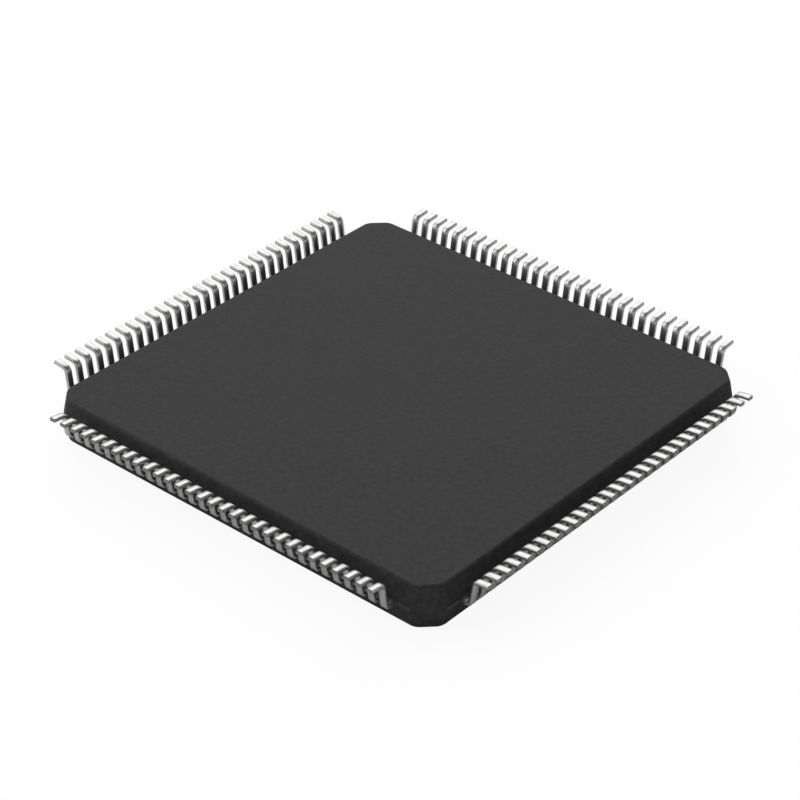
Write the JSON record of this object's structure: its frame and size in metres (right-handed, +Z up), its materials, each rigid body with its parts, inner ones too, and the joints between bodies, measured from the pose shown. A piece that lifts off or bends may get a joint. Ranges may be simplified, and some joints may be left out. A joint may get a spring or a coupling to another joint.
{
  "type": "microcontroller chip",
  "caption": "Square quad flat package chip: a black moulded body with fine gull-wing leads on all four sides, lying on its marked face with the solder feet up.",
  "frame": {"origin": "middle of the marked face, on the surface that the chip lies on", "axes": "+Z up, from the marked face to the solder feet; X and Y along the sides of the body, with the first-lead dimple towards -X and -Y"},
  "size_m": [0.016, 0.016, 0.0016],
  "materials": {
    "mould_compound": "fine spark-eroded mould texture, black epoxy",
    "tin_plating": "matte tin plating on copper alloy",
    "copper_strip": "bare copper alloy strip",
    "die_adhesive": "silver-filled epoxy",
    "silicon": "polished silicon",
    "gold_wire": "drawn gold wire"
  },
  "bodies": {
    "root": {"moulded_body": "mould_compound", "lead_row_right": "tin_plating", "lead_row_back": "tin_plating", "lead_row_left": "tin_plating", "lead_row_front": "tin_plating", "die_pad": "copper_strip", "die_attach": "die_adhesive", "die": "silicon", "wire_row_right": "gold_wire", "wire_row_back": "gold_wire", "wire_row_left": "gold_wire", "wire_row_front": "gold_wire"}
  },
  "joints": []
}
